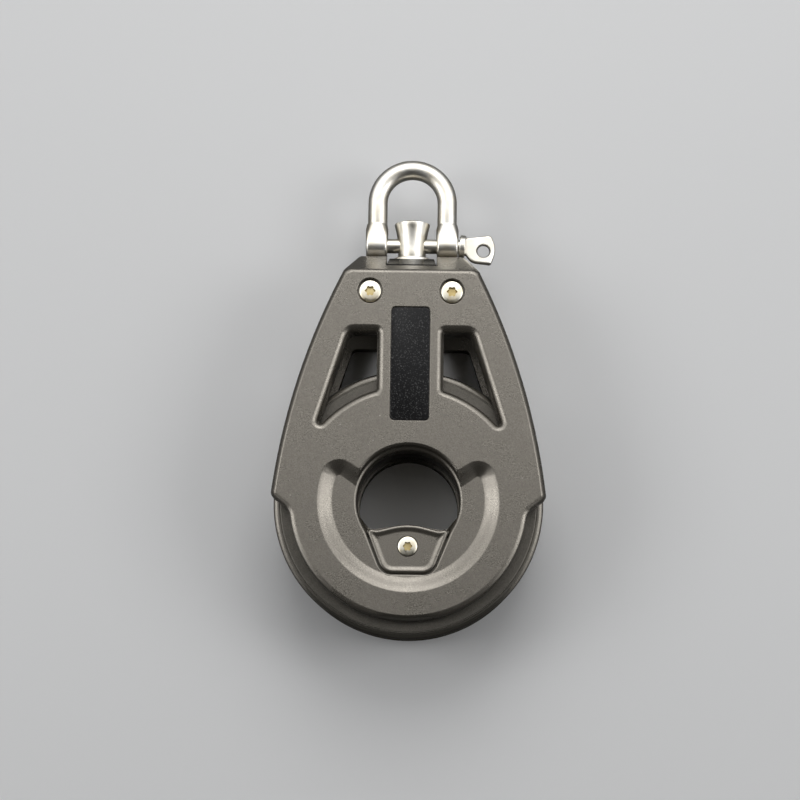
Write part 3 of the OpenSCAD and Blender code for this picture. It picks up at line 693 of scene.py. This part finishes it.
# Head block and seat
# The glossy black insert in the slot of the head, caught between the cheeks, and the bright
# turned seat that the post swivels in.
INSERT_FACE = 9.1
INSERT_STEP = 1.05
insert_plastic = moulded_plastic("insert_plastic", (0.008, 0.008, 0.008), (0.02, 0.02, 0.02), 0.3, 0.12,
                                 rim_highlight_amount=0.0, speck_amount=0.3, sheen=0.12)
feed(insert_plastic.node_tree.nodes["Principled BSDF"].inputs["IOR"], 1.3)
insert = copy_of("head_block")
for vert in insert.verts:
    if abs(vert.co.z - MID) > INSERT_FACE:
        vert.co.z += INSERT_STEP if vert.co.z > MID else -INSERT_STEP
rounded(insert, lambda p: abs(p.z - MID) > INSERT_FACE and p.y > 50, 0.25, 3)
flat_faces_first(hand_over(insert, "head_block_insert", "block", insert_plastic,
                           "head_block"))


def on_post_axis(bm):
    """Lays a piece that was turned round Z along the post's axis, towards the shackle."""
    return moved(swung(bm, -pi / 2, "X"), 0, 0, MID)


polished = steel("polished_steel", (0.66, 0.645, 0.6), (0.6, 0.56, 0.47), 0.32, 0.40)
seat_profile = [(2.98, 54.6), (4.4, 54.6), (4.4, 57.0)] + arc(4.1, 57.0, 0.3, 0, 150, 5)
seat_profile += [(3.55, 56.4), (3.2, 56.2), (2.98, 56.0)]
hand_over(on_post_axis(turned(seat_profile, 96)), "swivel_seat", "block", polished,
          "swivel_cup")

# Swivel post
# Turned from stainless bar: threaded foot, shank, waist and a flared, domed head that the
# shackle pin goes through.
PIN_Y = 60.5


def along_x(bm, y):
    """Lays a piece that was turned round Z along X, at height y on the post's axis."""
    return moved(swung(bm, pi / 2, "Y"), 0, y, MID)


shank = [(0, 43.6), (2.2, 43.6), (2.4, 43.8), (2.4, 48.0), (2.9, 48.1), (2.9, 56.5), (3.2, 57.3)]
flare = [(3.2 + 0.9 * (i / 10) ** 2, 59.0 + 6.4 * i / 10) for i in range(11)] + [(4.08, 65.55)]
dome = arc(0.0, 59.85, 6.75, 54.0, 90.0, 10)[1:]
post = on_post_axis(turned(shank + flare + dome, 96, closed=False))
pin_way = [(0, -9), (2.3, -9), (2.3, -4.2), (1.95, -3.4), (1.8, -3.0), (1.8, 3.0), (1.95, 3.4), (2.3, 4.2),
           (2.3, 9), (0, 9)]
post = without(post, along_x(turned(pin_way, 48, closed=False), PIN_Y))
hand_over(post, "swivel_post_steel", "swivel", polished, "swivel_post", sharp=32)

# Shackle bow
# Bent from 4.5 mm stainless rod, its ends forged into flat-sided eyes and drilled for the
# pin, then polished. The rod is drawn a hair thinner, to stay inside the solid's facets.
ROD_R = 2.24
ROD_X = 8.05
ROD_FOOT_Y = 64.8
BEND_Y = 70.7
EYE_R = 3.1
EYE_SIDES = (5.8, 10.6)
NECK = ((64.4, 2.62), (65.6, 2.32))
BORE_R = 1.7


def only(kind, parts):
    """The vertices, edges or faces among what an operator gives back."""
    return [part for part in parts if isinstance(part, kind)]


def verts_of(parts):
    """The vertices of some edges or faces, each once and always in the same order."""
    return list(dict.fromkeys(v for part in parts for v in part.verts))


def drawn_out(bm, loop, length):
    """Draws an open loop of edges out along Y, and gives the new loop."""
    grown = bmesh.ops.extrude_edge_only(bm, edges=loop)["geom"]
    ends = only(bmesh.types.BMVert, grown)
    bmesh.ops.translate(bm, vec=(0, length, 0), verts=ends)
    return [e for e in only(bmesh.types.BMEdge, grown) if all(v in ends for v in e.verts)]


def circle(bm, place, radius, steps, axis):
    """A ring of vertices across X or Y, as the section of a rod, a neck or an eye."""
    across = Matrix.Rotation(pi / 2, 4, "Y" if axis == "X" else "X")
    return bmesh.ops.create_circle(bm, cap_ends=False, segments=steps, radius=radius,
                                   matrix=Matrix.Translation(place) @ across)["verts"]


bow = bmesh.new()
foot = circle(bow, (ROD_X, ROD_FOOT_Y, MID), ROD_R, 36, "Y")
leg_top = drawn_out(bow, list(dict.fromkeys(e for v in foot for e in v.link_edges)), BEND_Y - ROD_FOOT_Y)
bend = bmesh.ops.spin(bow, geom=leg_top + verts_of(leg_top), cent=(0, BEND_Y, MID), axis=(0, 0, 1),
                      dvec=(0, 0, 0), angle=pi, steps=48, use_merge=False, use_duplicate=False)["geom_last"]
drawn_out(bow, only(bmesh.types.BMEdge, bend), ROD_FOOT_Y - BEND_Y)
bmesh.ops.holes_fill(bow, edges=[e for e in bow.edges if e.is_boundary], sides=0)

# Each eye: a boss round the pin that narrows to the rod through a soft shoulder
for side in (-1, 1):
    corners = []
    for x in EYE_SIDES:
        corners += circle(bow, (side * x, PIN_Y, MID), EYE_R, 56, "X")
    for y, radius in NECK:
        corners += circle(bow, (side * (ROD_X + 0.1), y, MID), radius, 56, "Y")
    hull = bmesh.ops.convex_hull(bow, input=corners, use_existing_faces=False)
    skin = [f for f in only(bmesh.types.BMFace, hull["geom"]) if f.is_valid]
    bmesh.ops.dissolve_limit(bow, angle_limit=radians(0.3), verts=verts_of(skin),
                             edges=list(dict.fromkeys(e for f in skin for e in f.edges)))
bmesh.ops.recalc_face_normals(bow, faces=bow.faces)
bevelled(bow, [e for e in sharp_edges(bow, 50) if all(v.co.y < 65 for v in e.verts)], 0.5, 4)
bore = turned([(0, -12), (BORE_R, -12), (BORE_R, 12), (0, 12)], 64, closed=False)
hand_over(without(bow, along_x(bore, PIN_Y)), "shackle_bow_steel", "bow", polished,
          "shackle_bow", sharp=32)

# Shackle pin
# The screw pin: round shank, forged collar and a flattened, drilled ear that leans a little,
# as it came from the die.
EAR_T = 1.8
EAR_HOLE = (4.27, -0.5)
COLLAR_X = 11.628
LEAN = radians(-6)
EAR_CORNERS = [((0.3, -1.9), 0.25), ((1.8, -3.5), 1.1), ((6.3, -3.5), 0.4), ((7.3, 0.2), 1.9),
               ((5.6, 3.4), 0.7)]
pin = turned([(0, -10.4), (1.35, -10.4), (1.65, -10.1), (1.65, 11.6), (0, 11.6)], 48, closed=False)
collar_rim = arc(2.45, -0.45, 0.25, -90, 0, 4) + arc(2.45, 0.45, 0.25, 0, 90, 4)
collar = turned([(0, -0.7), (2.45, -0.7)] + collar_rim + [(0, 0.7)], 64, closed=False)

ear = bmesh.new()
neck = [ear.verts.new((-0.4, 2.0, 0)), ear.verts.new((-0.4, -1.9, 0))]
corners = [ear.verts.new((*p, 0)) for p, _ in EAR_CORNERS]
ear.faces.new(neck + corners)
for vert, (_, reach) in zip(corners, EAR_CORNERS):
    bevelled(ear, [vert], reach, 6, "VERTICES")
bmesh.ops.translate(ear, vec=(0, 0, -EAR_T / 2), verts=ear.verts)
grown = bmesh.ops.extrude_face_region(ear, geom=list(ear.faces))["geom"]
bmesh.ops.translate(ear, vec=(0, 0, EAR_T), verts=only(bmesh.types.BMVert, grown))
bmesh.ops.recalc_face_normals(ear, faces=ear.faces)
bevelled(ear, [e for e in sharp_edges(ear, 60) if abs(e.verts[0].co.z - e.verts[1].co.z) < 1e-4], 0.42, 4)
eyelet = turned([(0, -3), (1.85, -3), (1.85, -1.1), (1.6, -0.78), (1.46, -0.55), (1.4, -0.3), (1.4, 0.3),
                 (1.46, 0.55), (1.6, 0.78), (1.85, 1.1), (1.85, 3), (0, 3)], 56, closed=False)
ear = moved(without(ear, moved(eyelet, *EAR_HOLE, 0)), 0.7, 0, 0)
tab = moved(swung(joined(ear, swung(collar, pi / 2, "Y")), LEAN, "Z"), COLLAR_X, PIN_Y, MID)
flat_faces_first(hand_over(joined(along_x(pin, PIN_Y), tab), "shackle_pin_steel", "pin",
                           polished, "shackle_pin", sharp=32))
